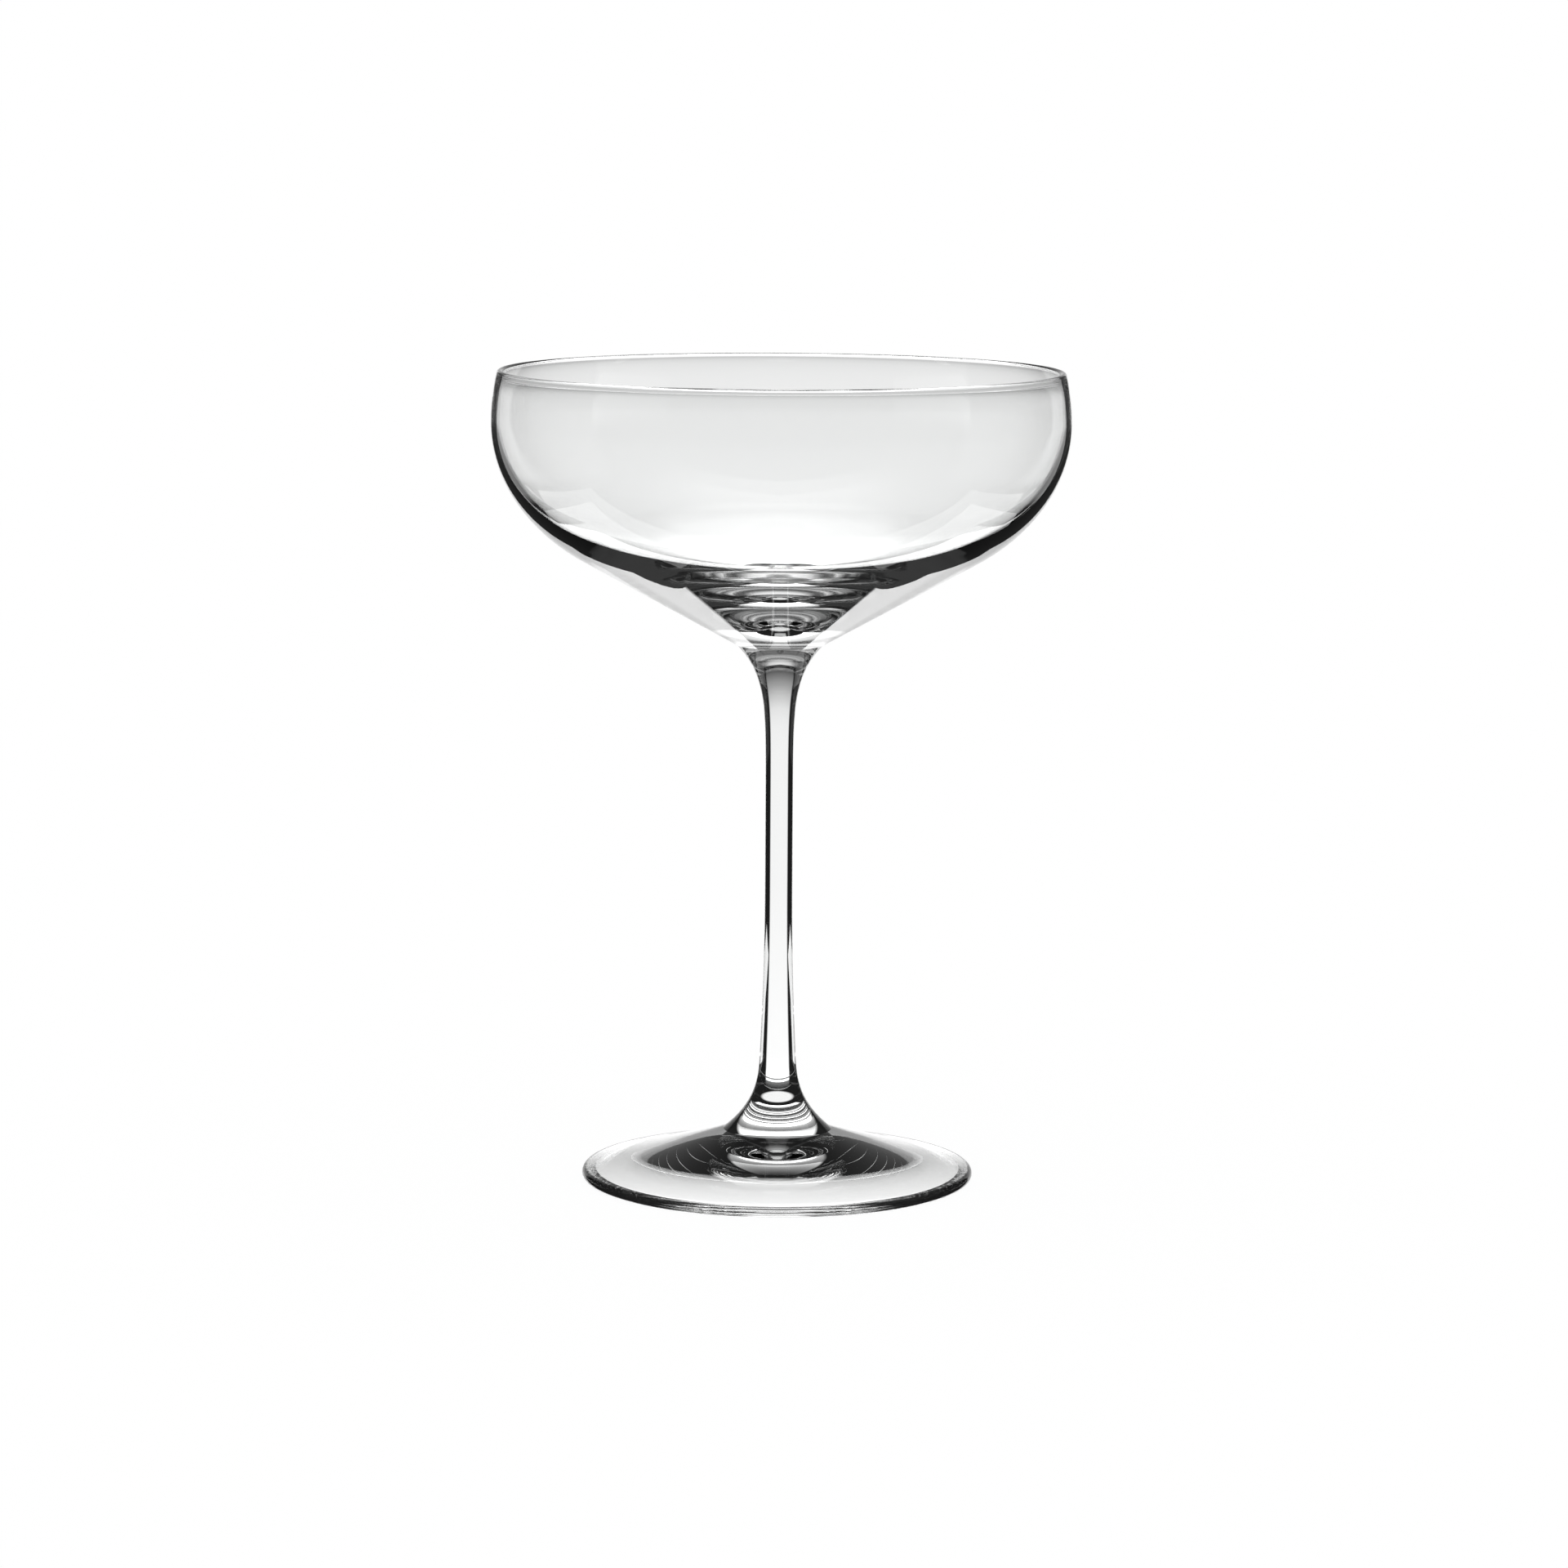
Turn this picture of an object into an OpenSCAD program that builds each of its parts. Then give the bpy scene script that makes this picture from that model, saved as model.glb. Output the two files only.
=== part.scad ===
// Coupe glass: a blown bowl, a drawn stem and a round foot, welded hot at two flat seams.
// The glass stands on the plane z = 0 with its axis on Z.

/* [Foot] */
// Diameter of the foot
foot_d = 77.4; // [60:0.2:95]
// Thickness of the foot's rounded edge
foot_edge_t = 2.2; // [1.4:0.1:4]
// Height of the foot at its weld to the stem
foot_h = 9.8; // [6:0.1:14]
// How quickly the foot's upper side falls away from the weld
foot_fall = 1.15; // [1:0.05:2.4]
// Width of the flat ring that the glass rests on
rest_ring_w = 2; // [1:0.5:8]
// Depth of the hollow under the foot
hollow_depth = 5; // [0.4:0.1:6]

/* [Stem] */
// Length of the stem between its two welds
stem_l = 96.4; // [64:0.2:140]
// Diameter of the stem at its waist
waist_d = 5.4; // [4:0.1:9]
// Diameter of the stem's head, at the weld under the bowl
head_d = 17; // [12:0.2:24]
// Distance over which the head's flare dies out
head_reach = 40; // [24:1:60]
// How sharply the head's flare opens
head_sharpness = 7; // [4:0.5:9]
// Diameter of the stem's root, at the weld on the foot
root_d = 21.4; // [15:0.2:30]
// Distance over which the root's flare dies out
root_reach = 14.4; // [8:0.2:24]
// How sharply the root's flare opens
root_sharpness = 2.7; // [2:0.1:4]
// How much the shank's radius swells between its waist and its root
shank_swell = 1.8; // [0.5:0.1:3]
// Distance above the root over which the shank swells
swell_reach = 48; // [24:1:60]

/* [Bowl] */
// Height of the bowl from its weld to the rim
bowl_h = 53.8; // [44:0.2:80]
// Outer diameter of the rim
rim_d = 111; // [90:0.2:130]
// Outer diameter of the bowl at its widest
belly_d = 113.2; // [96:0.2:132]
// Depth of the widest ring below the rim
belly_drop = 10.2; // [4:0.2:14]
// Angle of the bowl's conical floor above the horizontal
floor_angle = 28.9; // [22:0.1:33]
// Width of the round shoulder between the floor and the widest ring
shoulder_w = 41; // [30:0.5:48]
// Thickness of the rounded lip
lip_t = 1.4; // [0.8:0.1:2]
// How late the wall thickens on its way up to the lip
lip_build = 6; // [1:0.5:8]
// Wall thickness at the widest ring
side_t = 1.1; // [0.8:0.1:2]
// Wall thickness where the shoulder runs into the floor
shoulder_t = 2.7; // [2:0.1:4.5]
// How late the wall thickens on its way down to the floor
wall_build = 1.25; // [1:0.05:2]
// Depth of the dished floor inside the bowl
dish_depth = 12; // [8:0.1:13]

/* [Hidden] */

// Steps along each curve
steps = 28;
$fn = 120;

glass_clear = [0.90, 0.93, 0.95, 0.45];

// The two flat welds, measured from the table
root_z = foot_h;
head_z = root_z + stem_l;

foot_r = foot_d / 2;
waist_r = waist_d / 2;
head_r = head_d / 2;
root_r = root_d / 2;
rim_r = rim_d / 2;
belly_r = belly_d / 2;

// Foot: the round edge's middle and the resting ring
edge_r = foot_edge_t / 2;
edge_x = foot_r - edge_r;
ring_in_r = edge_x - rest_ring_w;

// Bowl: the shoulder is an ellipse that starts upright at the widest ring
// and runs on smoothly into the conical floor
belly_z = bowl_h - belly_drop;
lip_r = lip_t / 2;
lip_x = rim_r - lip_r;
lip_z = bowl_h - lip_r;
shoulder_x = belly_r - shoulder_w;
floor_reach = sin(floor_angle) * (head_r - shoulder_x) + cos(floor_angle) * belly_z;
shoulder_h = sqrt(pow(floor_reach, 2) - pow(shoulder_w * sin(floor_angle), 2)) / cos(floor_angle);
shoulder_turn = atan2(shoulder_h, shoulder_w * tan(floor_angle));

// Inside the bowl, the floor runs on from the shoulder without a kink
shoulder_end = inner_shoulder(1);
shoulder_end_slope = slope(shoulder_end, inner_shoulder(1 - 1 / steps));
dish_power = shoulder_end_slope * shoulder_end.x / dish_depth;

// Shares of the way along a curve, from its start to its end
along = [for (i = [0 : steps]) i / steps];
back = [for (i = [0 : steps]) 1 - i / steps];

// What is left of a flare at a distance from where it is widest
function flare(distance, reach, sharpness) = pow(max(0, 1 - distance / reach), sharpness);

function mix(start, end, share) = start + (end - start) * share;

function slope(a, b) = (b.y - a.y) / (b.x - a.x);

// Upper side of the foot, from its edge in to the weld
function foot_top(share) =
    [mix(edge_x, root_r, share), mix(foot_edge_t, foot_h, pow(share, foot_fall))];

// Hollow under the foot, from the axis out to the resting ring
function foot_under(share) = [ring_in_r * share, hollow_depth * (1 - pow(share, 2))];

// Heights along the stem, closest together at its two flares
function stem_height(share) = stem_l * (1 - cos(180 * share)) / 2;

// Radius of the stem at a height above its root
function stem_r(height) =
    waist_r
    + (head_r - waist_r) * flare(stem_l - height, head_reach, head_sharpness)
    + shank_swell * flare(height, swell_reach, 2)
    + (root_r - waist_r - shank_swell) * flare(height, root_reach, root_sharpness);

// Outside of the bowl's shoulder, from the widest ring down to the floor
function outer_shoulder(share) =
    [shoulder_x + shoulder_w * cos(shoulder_turn * share),
     belly_z - shoulder_h * sin(shoulder_turn * share)];

// Direction that points out of the glass on the shoulder
function shoulder_out(share) =
    let (lean = [shoulder_h * cos(shoulder_turn * share), -shoulder_w * sin(shoulder_turn * share)])
    lean / norm(lean);

// Inside of the shoulder, within a wall that thickens towards the floor
function inner_shoulder(share) =
    outer_shoulder(share) - shoulder_out(share) * mix(side_t, shoulder_t, pow(share, wall_build));

// Inside of the floor, from the shoulder in to the axis
function inner_floor(share) =
    [shoulder_end.x * (1 - share),
     shoulder_end.y - dish_depth * (1 - pow(1 - share, dish_power))];

// Outside and inside of the upright wall, from the widest ring up to the lip
function outer_side(share) =
    [mix(belly_r, rim_r, pow(share, 2)), mix(belly_z, lip_z, share)];

function inner_side(share) =
    outer_side(share) - [mix(side_t, lip_t, pow(share, lip_build)), 0];

module foot_section() {
    translate([edge_x, edge_r])
        circle(r = edge_r);
    polygon(concat(
        [for (s = along) foot_under(s)],
        [[edge_x, 0]],
        [for (s = along) foot_top(s)],
        [[0, foot_h]]
    ));
}

module stem_section() {
    polygon(concat(
        [[0, 0]],
        [for (s = along) let (h = stem_height(s)) [stem_r(h), h]],
        [[0, stem_l]]
    ));
}

module bowl_section() {
    translate([lip_x, lip_z])
        circle(r = lip_r);
    polygon(concat(
        [[0, 0], [head_r, 0]],
        [for (s = back) outer_shoulder(s)],
        [for (s = along) if (s > 0) outer_side(s)],
        [for (s = back) inner_side(s)],
        [for (s = along) if (s > 0) inner_shoulder(s)],
        [for (s = along) if (s > 0) inner_floor(s)]
    ));
}

module foot() {
    color(glass_clear)
        rotate_extrude()
            foot_section();
}

module stem() {
    color(glass_clear)
        translate([0, 0, root_z])
            rotate_extrude()
                stem_section();
}

module bowl() {
    color(glass_clear)
        translate([0, 0, head_z])
            rotate_extrude()
                bowl_section();
}

bowl();
stem();
foot();
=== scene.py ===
# %% [markdown]
# A coupe glass is three gathers of clear glass: a blown bowl, a drawn stem and a round foot, welded
# while hot. This lesson turns each of them from its outline, gives them one clear glass, and lights
# them the way a photographer lights glass: a white ground behind, and darkness at the sides.
# The frame comes first. It holds the part at its real size, in metres, and nothing here moves it.

# %% Load the frame and keep its box
import math

import bmesh
import bpy
from mathutils import Matrix, Vector


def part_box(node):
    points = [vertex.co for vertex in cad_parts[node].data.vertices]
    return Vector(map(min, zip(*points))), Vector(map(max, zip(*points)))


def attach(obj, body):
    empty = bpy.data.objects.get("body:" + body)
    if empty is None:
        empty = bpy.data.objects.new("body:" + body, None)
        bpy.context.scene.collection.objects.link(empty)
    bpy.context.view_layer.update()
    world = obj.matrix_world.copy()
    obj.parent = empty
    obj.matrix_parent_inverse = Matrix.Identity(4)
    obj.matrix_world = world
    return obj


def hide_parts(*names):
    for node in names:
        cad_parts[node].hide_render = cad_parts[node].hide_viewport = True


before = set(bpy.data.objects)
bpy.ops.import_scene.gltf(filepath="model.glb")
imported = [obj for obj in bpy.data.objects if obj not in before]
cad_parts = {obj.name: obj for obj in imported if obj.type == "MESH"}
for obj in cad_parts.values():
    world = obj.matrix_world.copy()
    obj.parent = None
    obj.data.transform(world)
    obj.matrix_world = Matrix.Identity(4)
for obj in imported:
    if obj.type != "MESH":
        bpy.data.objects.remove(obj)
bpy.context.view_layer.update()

MM = 0.001
scene = bpy.context.scene

# %% [markdown]
# The welds are the two flat discs where one gather meets the next. Their heights can be read from the
# frame, and so can the radius of the wider one, so that each turned piece seats on its neighbour. The
# sizes that the frame's boxes don't show, such as the waist of the stem, are repeated as the part has
# them, each in the cell that needs it.

# %% Sizes from the frame
foot_low, foot_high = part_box("foot")
stem_low, stem_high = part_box("stem")
bowl_low, bowl_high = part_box("bowl")

FOOT_R = foot_high.x
FOOT_H = foot_high.z
ROOT_R = stem_high.x
STEM_L = stem_high.z - stem_low.z
HEAD_Z = stem_high.z
BELLY_R = bowl_high.x
BOWL_H = bowl_high.z - bowl_low.z
print("foot", FOOT_R, FOOT_H, "stem", STEM_L, ROOT_R, "bowl", BELLY_R, BOWL_H)

# %% [markdown]
# A round piece of glass could be modelled with a subdivided cylinder, but its profile is easier to
# get right as an outline: half of the section, drawn from the axis round to the axis again. The
# outline's points come from the same formulas as the solid part, only closer together, because clear
# glass shows every facet. One full spin with merged ends then makes the body.

# %% Turn an outline into a closed body
ROUND_STEPS = 192
MERGE_DISTANCE = 1e-7
SHARP_ANGLE = math.radians(12)


def shares(steps):
    """Even steps from 0 to 1, both ends included."""
    return [step / steps for step in range(steps + 1)]


def mix(start, end, share):
    return start + (end - start) * share


def arc(centre_r, centre_z, radius, start, end, steps):
    """Points of a round edge, between two angles in degrees."""
    angles = [math.radians(mix(start, end, share)) for share in shares(steps)]
    return [(centre_r + radius * math.cos(a), centre_z + radius * math.sin(a)) for a in angles]


def turned(name, outline, base_z):
    """Spins an outline of (radius, height) points, in metres above base_z, round the Z axis."""
    body = bmesh.new()
    chain = [body.verts.new((radius, 0, base_z + height)) for radius, height in outline]
    links = [body.edges.new(pair) for pair in zip(chain, chain[1:])]
    bmesh.ops.spin(body, geom=chain + links, cent=(0, 0, 0), axis=(0, 0, 1), angle=math.tau,
                   steps=ROUND_STEPS, use_merge=True)
    bmesh.ops.remove_doubles(body, verts=body.verts, dist=MERGE_DISTANCE)
    bmesh.ops.recalc_face_normals(body, faces=body.faces)
    for face in body.faces:
        face.smooth = True
    for edge in body.edges:
        edge.smooth = edge.calc_face_angle(0) < SHARP_ANGLE
    mesh = bpy.data.meshes.new(name)
    body.to_mesh(mesh)
    body.free()
    piece = bpy.data.objects.new(name, mesh)
    scene.collection.objects.link(piece)
    print(name, "has", len(mesh.polygons), "faces")
    return piece


# %% [markdown]
# The foot is spun from a small gather into a disc. Its edge is fire-polished round, its upper side
# rises almost straight to the weld, and it is hollow beneath, so that it stands on a narrow ring. A
# bevelled disc would give the edge, but the outline gives the top and the hollow as well. The hollow
# rises nearly as steeply as the top: a plate whose sides run together stays pale, and only the thick
# part round the weld turns the light away and goes dark.

# %% Foot
EDGE_R = 1.1 * MM
FOOT_FALL = 1.15
REST_RING_W = 2 * MM
HOLLOW_DEPTH = 5 * MM
HOLLOW_STEPS, FOOT_EDGE_STEPS, FOOT_TOP_STEPS = 48, 24, 72

edge_x = FOOT_R - EDGE_R
ring_in_r = edge_x - REST_RING_W
hollow = [(ring_in_r * s, HOLLOW_DEPTH * (1 - s ** 2)) for s in shares(HOLLOW_STEPS)]
foot_edge = arc(edge_x, EDGE_R, EDGE_R, -90, 90, FOOT_EDGE_STEPS)
foot_top = [(mix(edge_x, ROOT_R, s), mix(2 * EDGE_R, FOOT_H, s ** FOOT_FALL))
            for s in shares(FOOT_TOP_STEPS)]
foot = turned("foot_spun", hollow + foot_edge + foot_top[1:] + [(0, FOOT_H)], 0)

# %% [markdown]
# The stem is drawn out of the glass while it is soft, so it is thinnest in the middle and swells
# towards both ends. Three flares added to the waist give that line: a sharp one at the head, a long
# gentle one over the lower half, and a short one at the root.

# %% Stem
WAIST_R = 2.7 * MM
HEAD_R = 8.5 * MM
HEAD_REACH = 40 * MM
HEAD_SHARPNESS = 7
ROOT_REACH = 14.4 * MM
ROOT_SHARPNESS = 2.7
SHANK_SWELL = 1.8 * MM
SWELL_REACH = 48 * MM
SWELL_SHARPNESS = 2
STEM_STEPS = 140


def flare(distance, reach, sharpness):
    """What is left of a flare at a distance from where it is widest."""
    return max(0, 1 - distance / reach) ** sharpness


def stem_r(height):
    head = (HEAD_R - WAIST_R) * flare(STEM_L - height, HEAD_REACH, HEAD_SHARPNESS)
    swell = SHANK_SWELL * flare(height, SWELL_REACH, SWELL_SHARPNESS)
    root = (ROOT_R - WAIST_R - SHANK_SWELL) * flare(height, ROOT_REACH, ROOT_SHARPNESS)
    return WAIST_R + head + swell + root


stem_heights = [STEM_L * (1 - math.cos(math.pi * s)) / 2 for s in shares(STEM_STEPS)]
stem_side = [(stem_r(height), height) for height in stem_heights]
stem = turned("stem_drawn", [(0, 0)] + stem_side + [(0, STEM_L)], FOOT_H)

# %% [markdown]
# The bowl is blown. Its outside is a cone that runs into an elliptical shoulder and an upright side,
# and its wall grows from a thin side to a thick floor, with a little extra at the fire-polished lip.
# A Solidify modifier would give one even wall, so both skins are drawn instead. The thick floor
# matters in the picture: it turns the light round inside itself and gives the dark band over the
# stem. The slope at its edge is taken over one of the part's own steps, to match the part.

# %% Bowl
RIM_R = 55.5 * MM
BELLY_DROP = 10.2 * MM
FLOOR_ANGLE = math.radians(28.9)
SHOULDER_W = 41 * MM
LIP_R = 0.7 * MM
LIP_BUILD = 6
SIDE_T = 1.1 * MM
SHOULDER_T = 2.7 * MM
WALL_BUILD = 1.25
DISH_DEPTH = 12 * MM
SHOULDER_STEPS, SIDE_STEPS, LIP_STEPS, FLOOR_STEPS = 80, 20, 20, 60
PART_STEPS = 28

belly_z = BOWL_H - BELLY_DROP
lip_z = BOWL_H - LIP_R
shoulder_x = BELLY_R - SHOULDER_W
floor_reach = math.sin(FLOOR_ANGLE) * (HEAD_R - shoulder_x) + math.cos(FLOOR_ANGLE) * belly_z
shoulder_rise = SHOULDER_W * math.sin(FLOOR_ANGLE)
shoulder_h = math.sqrt(floor_reach ** 2 - shoulder_rise ** 2) / math.cos(FLOOR_ANGLE)
shoulder_turn = math.atan2(shoulder_h, SHOULDER_W * math.tan(FLOOR_ANGLE))


def outer_shoulder(share):
    angle = shoulder_turn * share
    return Vector((shoulder_x + SHOULDER_W * math.cos(angle), belly_z - shoulder_h * math.sin(angle)))


def inner_shoulder(share):
    angle = shoulder_turn * share
    outward = Vector((shoulder_h * math.cos(angle), -SHOULDER_W * math.sin(angle))).normalized()
    return outer_shoulder(share) - outward * mix(SIDE_T, SHOULDER_T, share ** WALL_BUILD)


def outer_side(share):
    return Vector((mix(BELLY_R, RIM_R, share ** 2), mix(belly_z, lip_z, share)))


def inner_side(share):
    return outer_side(share) - Vector((mix(SIDE_T, 2 * LIP_R, share ** LIP_BUILD), 0))


dish_edge = inner_shoulder(1)
before_edge = inner_shoulder(1 - 1 / PART_STEPS)
dish_slope = (before_edge.y - dish_edge.y) / (before_edge.x - dish_edge.x)
dish_power = dish_slope * dish_edge.x / DISH_DEPTH


def inner_floor(share):
    return (dish_edge.x * (1 - share), dish_edge.y - DISH_DEPTH * (1 - (1 - share) ** dish_power))


bowl_outline = [(0, 0), (HEAD_R, 0)]
bowl_outline += [tuple(outer_shoulder(1 - s)) for s in shares(SHOULDER_STEPS)]
bowl_outline += [tuple(outer_side(s)) for s in shares(SIDE_STEPS)[1:-1]]
bowl_outline += arc(RIM_R - LIP_R, lip_z, LIP_R, 0, 180, LIP_STEPS)
bowl_outline += [tuple(inner_side(1 - s)) for s in shares(SIDE_STEPS)[1:]]
bowl_outline += [tuple(inner_shoulder(s)) for s in shares(SHOULDER_STEPS)[1:]]
bowl_outline += [inner_floor(s) for s in shares(FLOOR_STEPS)[1:]]
bowl = turned("bowl_blown", bowl_outline, HEAD_Z)

# %% [markdown]
# Shader maths reads best as arithmetic. This small class wraps one output of a node, and each
# operator on it adds the Math node that it stands for. Every other node comes from its make method.

# %% Shader sockets as numbers
WHITE = (1.0, 1.0, 1.0, 1.0)


class Shade:
    """One output socket of a shader node, which can be used in sums."""

    def __init__(self, socket):
        self.socket = socket

    @classmethod
    def make(cls, tree, kind, settings=None, inputs=None, output=0):
        """Adds a node: its settings first, then the values or links of its sockets."""
        node = tree.nodes.new(kind)
        for name, value in (settings or {}).items():
            setattr(node, name, value)
        for key, value in (inputs or {}).items():
            if isinstance(value, Shade):
                tree.links.new(value.socket, node.inputs[key])
            else:
                node.inputs[key].default_value = value
        return cls(node.outputs[output]) if len(node.outputs) else node

    def math(self, operation, *others):
        values = dict(enumerate((self, *others)))
        return Shade.make(self.socket.id_data, "ShaderNodeMath", {"operation": operation}, values)

    def __add__(self, other):
        return self.math("ADD", other)

    def __mul__(self, other):
        return self.math("MULTIPLY", other)

    __radd__ = __add__
    __rmul__ = __mul__

    def between(self, start, end, low=0.0, high=1.0, blend="SMOOTHSTEP"):
        """Runs from low to high as the value goes from start to end."""
        inputs = {"Value": self, "From Min": start, "From Max": end, "To Min": low, "To Max": high}
        settings = {"interpolation_type": blend, "clamp": True}
        return Shade.make(self.socket.id_data, "ShaderNodeMapRange", settings, inputs)

    def through(self, points):
        """Runs in straight lines through points of (value, result)."""
        total = points[0][1]
        for (start, low), (end, high) in zip(points, points[1:]):
            total = self.between(start, end, 0.0, high - low, "LINEAR") + total
        return total


def empty_material(name):
    material = bpy.data.materials.new(name)
    material.use_nodes = True
    material.node_tree.nodes.clear()
    return material, material.node_tree


def place(tree):
    """The X, Y and Z of a point of the piece, from its Object coordinates."""
    where = Shade.make(tree, "ShaderNodeTexCoord", output="Object")
    axes = [Shade.make(tree, "ShaderNodeSeparateXYZ", None, {0: where}, axis) for axis in "XYZ"]
    return where, axes


# %% [markdown]
# Clear glass has almost no colour of its own. What makes it read as real is small: the wall isn't
# quite even, so reflections waver, and the ring that it stands on is scuffed. A plain Glass shader
# would do for the clear parts. The Principled one is used because its roughness can be baked.
# Light reaches the floor through the glass, so rays between the floor and the sky pass through it with
# only a little loss.

# %% Clear glass
GLASS_IOR = 1.52
GLASS_TINT = (0.995, 1.0, 0.998, 1.0)
SHADOW_TINT = (0.985, 0.988, 0.988, 1.0)
WAVE_NOISE = {"Scale": 45.0, "Detail": 1.0, "Roughness": 0.4}
WAVE_STRENGTH, WAVE_HEIGHT = 0.1, 0.3 * MM
SCUFF_NOISE = {"Scale": 900.0, "Detail": 3.0}
SCUFF_START, SCUFF_FULL = 0.35, 0.65
SCUFF_HEIGHT, SCUFF_ROUGHNESS = 0.3 * MM, 0.3


def clear_glass(name):
    material, tree = empty_material(name)
    where, (_, _, z) = place(tree)
    wave = Shade.make(tree, "ShaderNodeTexNoise", None, {"Vector": where, **WAVE_NOISE}, "Fac")
    bump = Shade.make(tree, "ShaderNodeBump", None,
                      {"Height": wave, "Strength": WAVE_STRENGTH, "Distance": WAVE_HEIGHT})
    grain = Shade.make(tree, "ShaderNodeTexNoise", None, {"Vector": where, **SCUFF_NOISE}, "Fac")
    scuff = z.between(SCUFF_HEIGHT, 0.0) * grain.between(SCUFF_START, SCUFF_FULL)
    shader = Shade.make(tree, "ShaderNodeBsdfPrincipled", None, {
        "Base Color": GLASS_TINT,
        "Roughness": scuff * SCUFF_ROUGHNESS,
        "IOR": GLASS_IOR,
        "Transmission Weight": 1.0,
        "Normal": bump,
    })
    clear = Shade.make(tree, "ShaderNodeBsdfTransparent", None, {"Color": SHADOW_TINT})
    shadow_ray = Shade.make(tree, "ShaderNodeLightPath", output="Is Shadow Ray")
    floor_ray = Shade.make(tree, "ShaderNodeLightPath", output="Is Diffuse Ray")
    passing = shadow_ray.math("MAXIMUM", floor_ray)
    surface = Shade.make(tree, "ShaderNodeMixShader", None, {0: passing, 1: shader, 2: clear})
    Shade.make(tree, "ShaderNodeOutputMaterial", None, {"Surface": surface})
    return material


glass = clear_glass("clear_glass")
print("glass has", len(glass.node_tree.nodes), "nodes")

# %% [markdown]
# At a weld the glass is one piece, and no light turns there. Joining the meshes would do the same, but
# the bowl, the stem and the foot stay three pieces, as they were made. The two touching discs therefore
# get a material that lets every ray straight through, and only the outer skin bends light.

# %% Welds
WELD_TOLERANCE = 1e-6
WELD_SLOT = 1


def weld_material():
    material, tree = empty_material("weld")
    through = Shade.make(tree, "ShaderNodeBsdfTransparent", None, {"Color": WHITE})
    Shade.make(tree, "ShaderNodeOutputMaterial", None, {"Surface": through})
    return material


weld = weld_material()


def finish_glass(piece, node, weld_heights):
    """Gives a piece its glass, clears its weld discs and lets it stand for its node."""
    piece.data.materials.append(glass)
    piece.data.materials.append(weld)
    cleared = 0
    for face in piece.data.polygons:
        heights = [piece.data.vertices[index].co.z for index in face.vertices]
        if any(max(abs(h - z) for h in heights) < WELD_TOLERANCE for z in weld_heights):
            face.material_index = WELD_SLOT
            cleared += 1
    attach(piece, "root")
    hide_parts(node)
    print(piece.name, "stands for", node, "with", cleared, "weld faces")


finish_glass(foot, "foot", [FOOT_H])
finish_glass(stem, "stem", [FOOT_H, HEAD_Z])
finish_glass(bowl, "bowl", [HEAD_Z])

# %% [markdown]
# The camera stands about a metre away and looks down on the glass by eight degrees, through a long
# lens, which is why the rim and the foot show as narrow ellipses. It could be aimed by eye. Here its
# place was worked back from those two ellipses, so that the outline can be compared closely.

# %% Camera
CAMERA_DISTANCE = 1.0608
CAMERA_HEIGHT = 0.2294
CAMERA_PITCH = math.radians(8.087)
CAMERA_ROLL = math.radians(0.35)
CAMERA_LENS = 125.05
SENSOR_WIDTH = 36.0
CAMERA_ASIDE = 0.93 * MM

lens = bpy.data.cameras.new("camera")
lens.lens = CAMERA_LENS
lens.sensor_width = SENSOR_WIDTH
camera = bpy.data.objects.new("camera", lens)
scene.collection.objects.link(camera)
look = Matrix.Rotation(math.radians(90) - CAMERA_PITCH, 4, "X") @ Matrix.Rotation(CAMERA_ROLL, 4, "Z")
camera.matrix_world = Matrix.Translation((CAMERA_ASIDE, -CAMERA_DISTANCE, CAMERA_HEIGHT)) @ look
scene.camera = camera
print("camera at", list(camera.location))

# %% [markdown]
# The room is plain: a white floor under an even white sky of strength 1, at which a colour renders
# about as it is written. A curved backdrop would hide the horizon, but floor and sky are equally white
# here, so there is none to hide. The floor keeps the soft shadow of the glass.

# %% Floor and sky
FLOOR_R = 12.0
FLOOR_SIDES = 96
SKY_STRENGTH = 1.0


def plain_floor():
    disc = bmesh.new()
    bmesh.ops.create_circle(disc, cap_ends=True, segments=FLOOR_SIDES, radius=FLOOR_R)
    mesh = bpy.data.meshes.new("floor")
    disc.to_mesh(mesh)
    disc.free()
    material, tree = empty_material("white_floor")
    matt = Shade.make(tree, "ShaderNodeBsdfDiffuse", None, {"Color": WHITE})
    Shade.make(tree, "ShaderNodeOutputMaterial", None, {"Surface": matt})
    mesh.materials.append(material)
    floor = bpy.data.objects.new("floor", mesh)
    scene.collection.objects.link(floor)
    floor.visible_glossy = False
    floor.visible_transmission = False
    return floor


def even_sky():
    sky = bpy.data.worlds.new("even_sky")
    sky.use_nodes = True
    tree = sky.node_tree
    tree.nodes.clear()
    light = Shade.make(tree, "ShaderNodeBackground", None, {"Color": WHITE, "Strength": SKY_STRENGTH})
    Shade.make(tree, "ShaderNodeOutputWorld", None, {"Surface": light})
    return sky


floor = plain_floor()
scene.world = even_sky()
print(floor.name, "has a radius of", FLOOR_R, "m under", scene.world.name)

# %% [markdown]
# Glass has no look of its own: it shows what stands round it. A photographer puts a white ground just
# behind it and keeps everything else dark, so that each edge, which bends light sideways, is drawn as
# a dark line. Here that set stands on a turntable of its own, which a tracking constraint keeps turned
# towards the camera, as if the glass were turned in front of one fixed set.

# %% Turntable for the studio set
turntable = bpy.data.objects.new("studio_turntable", None)
scene.collection.objects.link(turntable)
facing = turntable.constraints.new("LOCKED_TRACK")
facing.target = camera
facing.track_axis = "TRACK_NEGATIVE_Y"
facing.lock_axis = "LOCK_Z"


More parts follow.
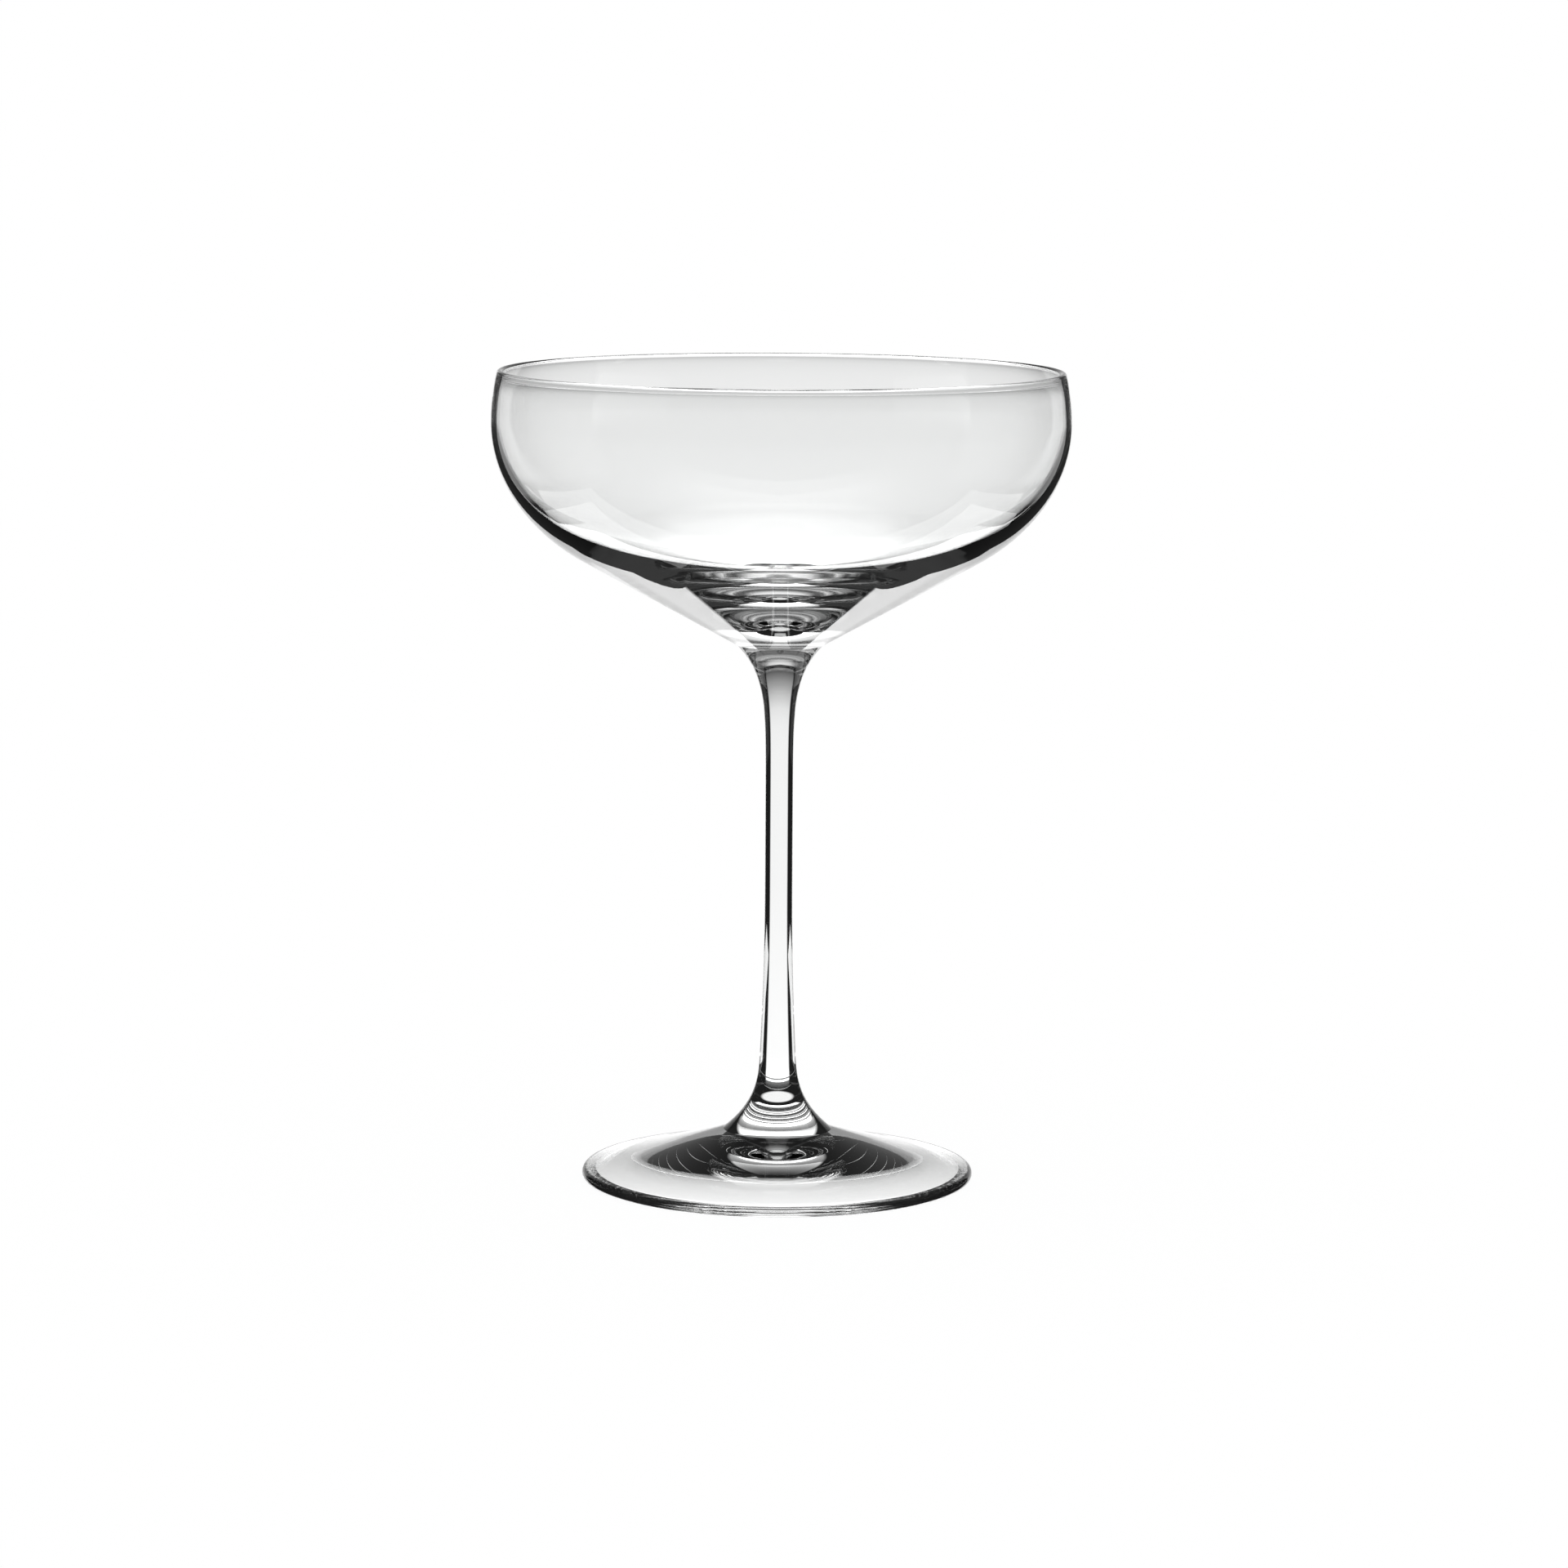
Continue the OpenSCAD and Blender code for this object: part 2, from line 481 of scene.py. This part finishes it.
def stand_on_turntable(name, mesh, material):
    """Adds a thing of the studio that only the glass sees."""
    material.cycles.emission_sampling = "NONE"
    mesh.materials.append(material)
    thing = bpy.data.objects.new(name, mesh)
    scene.collection.objects.link(thing)
    thing.visible_camera = False
    thing.visible_diffuse = False
    thing.visible_shadow = False
    thing.parent = turntable
    return thing


def shine(tree, brightness):
    """Ends a material with plain light: a grey value, or one that varies."""
    light = Shade.make(tree, "ShaderNodeEmission", None, {"Color": brightness, "Strength": 1.0})
    Shade.make(tree, "ShaderNodeOutputMaterial", None, {"Surface": light})


print(turntable.name, "turns towards", facing.target.name)

# %% [markdown]
# The far part of the set is a large dome. Its white ground is a window behind the glass. It is
# brightest low down, where it lights the pale wedges under the bowl, and ends there in a sharp edge,
# which the glass repeats as the sides of the dark V. It fades upwards, which shades the bowl from
# white at its floor to grey at its rim. A soft panel overhead draws the bright lines on the lip, and
# straight below, the dome is as white as the table. The rest is nearly black. Separate lamps could do
# this, but one dome keeps it all in a few lists: brightness, where 1 is white, by the angle above the
# horizon in degrees.

# %% Studio dome
DOME_R = 10.0
DOME_SIDES, DOME_RINGS = 64, 32
DOME_DARK = 0.012
GROUND_ASIDE, GROUND_EDGE = 29.0, 2.0
GROUND_WHITE = [(-41, 0), (-40, 3.4), (-37, 3.1), (-32, 2.6), (-28, 2.2), (-24, 1.6), (-18, 1.14),
                (-12, 1.05), (-8, 0.99), (-4, 0.94), (0, 0.84), (4, 0.65), (8, 0.5), (12, 0.38),
                (20, 0.24), (28, 0.15), (42, 0)]
TABLE_WHITE = [(-66, 1.0), (-60, 0)]
PANEL_ASIDE, PANEL_EDGE = 105.0, 5.0
PANEL_WHITE = [(54, 0), (62, 0.2), (72, 0.6), (90, 0.8)]


def studio_dome():
    ball = bmesh.new()
    bmesh.ops.create_uvsphere(ball, u_segments=DOME_SIDES, v_segments=DOME_RINGS, radius=DOME_R)
    mesh = bpy.data.meshes.new("studio_dome")
    ball.to_mesh(mesh)
    ball.free()
    material, tree = empty_material("studio_light")
    _, (x, y, z) = place(tree)
    degrees = 180 / math.pi
    aside = x.math("ABSOLUTE").math("ARCTAN2", y) * degrees
    rise = z.math("ARCTAN2", (x * x + y * y).math("SQRT")) * degrees
    window = aside.between(GROUND_ASIDE + GROUND_EDGE, GROUND_ASIDE - GROUND_EDGE, blend="LINEAR")
    ground = window * rise.through(GROUND_WHITE)
    panel = aside.between(PANEL_ASIDE + PANEL_EDGE, PANEL_ASIDE - PANEL_EDGE) * rise.through(PANEL_WHITE)
    below = rise.through(TABLE_WHITE)
    shine(tree, ground.math("MAXIMUM", panel).math("MAXIMUM", below).math("MAXIMUM", DOME_DARK))
    return stand_on_turntable("studio_dome", mesh, material)


dome = studio_dome()
print("dome material has", len(dome.data.materials[0].node_tree.nodes), "nodes")

# %% [markdown]
# Sheets of paper stand close to the bowl. Two narrow black flags draw the dark line along its outline,
# where the wall is seen edge on. White cards further out keep the glass just inside that line pale, and
# they fade towards their edges, so that the glass doesn't mirror a rectangle. All four could be painted
# on the dome, but a near sheet reaches only the part of the bowl that it stands by. The camera doesn't
# see them: only the glass does.

# %% Black flags and white cards
FLAG_ASIDE = 77 * MM
FLAG_FRONT, FLAG_BACK = 31 * MM, 100 * MM
FLAG_LOW, FLAG_TOP = 70 * MM, 200 * MM
PAPER_BLACK = 0.04
CARD_ASIDE = 100 * MM
CARD_FRONT, CARD_BACK = -60 * MM, 100 * MM
CARD_LOW, CARD_TOP = 93 * MM, 174 * MM
CARD_WHITE = [(CARD_FRONT, 0.2), (0, 0.4), (20 * MM, 0.6), (CARD_BACK, 0.7)]
CARD_FADE = [(CARD_LOW, 0), (103 * MM, 1), (160 * MM, 1), (CARD_TOP, 0)]


def sheet_pair(name, corners):
    """Two flat sheets, one to each side of the glass, from the corners of one of them."""
    sheets = bmesh.new()
    for side in (-1, 1):
        sheets.faces.new([sheets.verts.new((side * x, y, z)) for x, y, z in corners])
    mesh = bpy.data.meshes.new(name)
    sheets.to_mesh(mesh)
    sheets.free()
    return mesh


def upright(aside, front, back, low, top):
    """Corners of an upright sheet beside the glass."""
    return [(aside, front, low), (aside, back, low), (aside, back, top), (aside, front, top)]


def plain_paper(name, brightness):
    material, tree = empty_material(name)
    shine(tree, (brightness, brightness, brightness, 1.0))
    return material


def faded_card(name):
    material, tree = empty_material(name)
    _, (_, y, z) = place(tree)
    shine(tree, y.through(CARD_WHITE) * z.through(CARD_FADE))
    return material


flags = sheet_pair("black_flags", upright(FLAG_ASIDE, FLAG_FRONT, FLAG_BACK, FLAG_LOW, FLAG_TOP))
stand_on_turntable("black_flags", flags, plain_paper("black_flag", PAPER_BLACK))
cards = sheet_pair("side_cards", upright(CARD_ASIDE, CARD_FRONT, CARD_BACK, CARD_LOW, CARD_TOP))
stand_on_turntable("side_cards", cards, faded_card("white_card"))
print("flags stand", FLAG_ASIDE, "m and cards", CARD_ASIDE, "m to each side")

# %% [markdown]
# The bowl's underside mirrors the table. A black strip to each side cuts the pale wedges off sharply and
# so gives the dark band above them its thickness, and white paper further out keeps the glass above
# that band clear. They could be painted on the far dome, but on the table their outlines are simple.
# The strips show only as reflections and never through the glass, so that they don't appear from above.

# %% Papers on the table
STRIP_Z = 0.6 * MM
STRIP_CORNERS = [(36, 60), (42, 78), (70, 164), (111, 252), (165, 252), (148, 155), (120, 85), (72, 45)]
PATCH_Z = 0.3 * MM
PATCH_CORNERS = [(50, 0), (54, 50), (81, 80), (105, 110), (120, 185), (200, 185), (200, 0)]
PATCH_WHITE = 1.0


def lying(corners, height):
    """Corners of a sheet on the table, from its plan in millimetres."""
    return [(x * MM, y * MM, height) for x, y in corners]


strips = sheet_pair("black_strips", lying(STRIP_CORNERS, STRIP_Z))
strips = stand_on_turntable("black_strips", strips, plain_paper("black_strip", PAPER_BLACK))
strips.visible_transmission = False
patches = sheet_pair("white_patches", lying(PATCH_CORNERS, PATCH_Z))
stand_on_turntable("white_patches", patches, plain_paper("white_patch", PATCH_WHITE))
print("strips and patches lie", STRIP_Z, "and", PATCH_Z, "m above the floor")

# %% [markdown]
# Light goes through many skins of glass here and turns inside the thick floor several times, so each
# ray is followed further than usual, and mirror turns stay sharp.

# %% Long light paths
LONG_PATH = 24
scene.cycles.max_bounces = LONG_PATH
scene.cycles.glossy_bounces = LONG_PATH
scene.cycles.transmission_bounces = LONG_PATH
scene.cycles.blur_glossy = 0.0
print("each ray turns up to", LONG_PATH, "times")

# %% [markdown]
# Last, the view transform is set to Standard, so that white stays white.

# %% Set the view transform
scene.view_settings.view_transform = "Standard"
